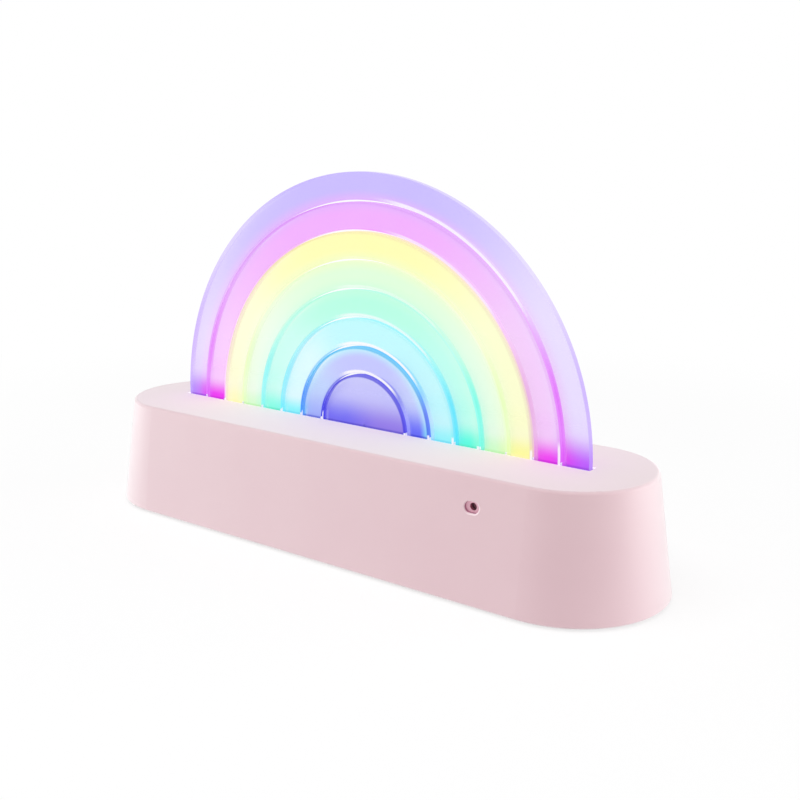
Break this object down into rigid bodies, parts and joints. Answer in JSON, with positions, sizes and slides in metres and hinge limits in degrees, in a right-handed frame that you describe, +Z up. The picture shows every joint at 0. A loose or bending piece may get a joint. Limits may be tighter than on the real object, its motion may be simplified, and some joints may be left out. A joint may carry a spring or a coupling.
{
  "type": "rainbow lamp",
  "caption": "Table lamp with nested clear arches and a centre half-disc, lit from their feet, standing in a slot of a tapered obround base with a mode button and a charging socket.",
  "frame": {"origin": "bottom centre of the lamp, on the table under its feet", "axes": "+X along the base, to the viewer's right; the front with the sound hole faces -Y; +Z up"},
  "size_m": [0.2298, 0.0654, 0.1293],
  "materials": {
    "pink_plastic": "satin",
    "cover_plastic": "matte",
    "foot_rubber": "matte",
    "screw_steel": "satin",
    "comb_white": "matte",
    "board_white": "satin",
    "diode_yellow": "satin",
    "board_green": "satin",
    "chip_black": "matte",
    "socket_steel": "bright",
    "button_plastic": "satin",
    "boot_rubber": "matte",
    "capsule_metal": "bright",
    "cell_wrap": "satin",
    "plug_cream": "satin",
    "lead_sheath": "satin",
    "lavender_clear": "clear, lit from its feet",
    "pink_clear": "clear, lit from its feet",
    "yellow_clear": "clear, lit from its feet",
    "pale_green_clear": "clear, lit from its feet",
    "mint_clear": "clear, lit from its feet",
    "cyan_clear": "clear, lit from its feet",
    "blue_clear": "clear, lit from its feet",
    "violet_clear": "clear, lit from its feet"
  },
  "bodies": {
    "lamp": {"base_shell": "pink_plastic", "bottom_cover": "cover_plastic", "rubber_feet": "foot_rubber", "cover_screws": "screw_steel", "light_comb": "comb_white", "led_board": "board_white", "led_chips": "diode_yellow", "comb_screws": "screw_steel", "main_board": "board_green", "board_screws": "screw_steel", "board_chips": "chip_black", "link_header": "chip_black", "charging_socket": "socket_steel", "socket_tongue": "chip_black", "tact_switch": "chip_black", "mic_boot": "boot_rubber", "mic_capsule": "capsule_metal", "battery_cell": "cell_wrap", "battery_clamp": "comb_white", "clamp_screws": "screw_steel", "lead_plugs": "plug_cream", "battery_lead": "lead_sheath", "mic_lead": "lead_sheath", "lavender_arch": "lavender_clear", "pink_arch": "pink_clear", "yellow_arch": "yellow_clear", "pale_green_arch": "pale_green_clear", "mint_arch": "mint_clear", "cyan_arch": "cyan_clear", "blue_arch": "blue_clear", "centre_half_disc": "violet_clear"},
    "button": {"mode_button": "button_plastic", "switch_plunger": "chip_black"}
  },
  "joints": [
    {"name": "button_press", "type": "slide", "parent": "lamp", "child": "button", "axis": [0, -1, 0], "range_m": [0, 0.0005], "stiffness_N_per_m": 3000}
  ]
}
